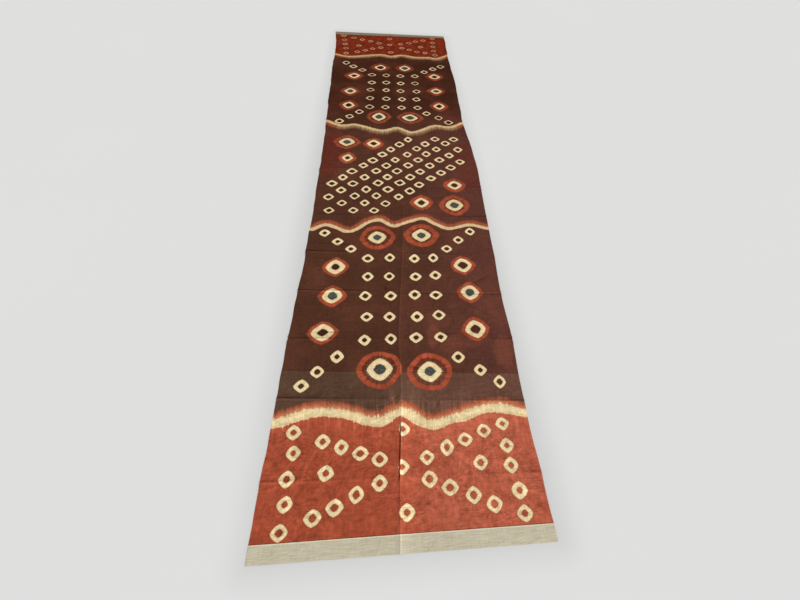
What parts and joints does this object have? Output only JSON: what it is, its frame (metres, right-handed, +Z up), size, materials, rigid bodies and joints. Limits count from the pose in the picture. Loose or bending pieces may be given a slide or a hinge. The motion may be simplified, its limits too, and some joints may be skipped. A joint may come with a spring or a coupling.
{
  "type": "tie-dyed textile panel",
  "caption": "Long flat cotton panel, spread with its storage folds, tie-dyed with rings and wavy stripes on red and brown grounds, and edged with a plain linen band at each end.",
  "frame": {"origin": "on the surface that the panel lies on, under the middle of its outline", "axes": "+X across the panel, +Y along it from the near end to the far end, +Z up"},
  "size_m": [1.0924, 4.41, 0.0076],
  "materials": {
    "dyed_cotton": "matte plain weave",
    "plain_linen": "matte slubby weave"
  },
  "bodies": {
    "root": {"tie_dyed_cloth": "dyed_cotton", "near_band": "plain_linen", "far_band": "plain_linen"}
  },
  "joints": []
}
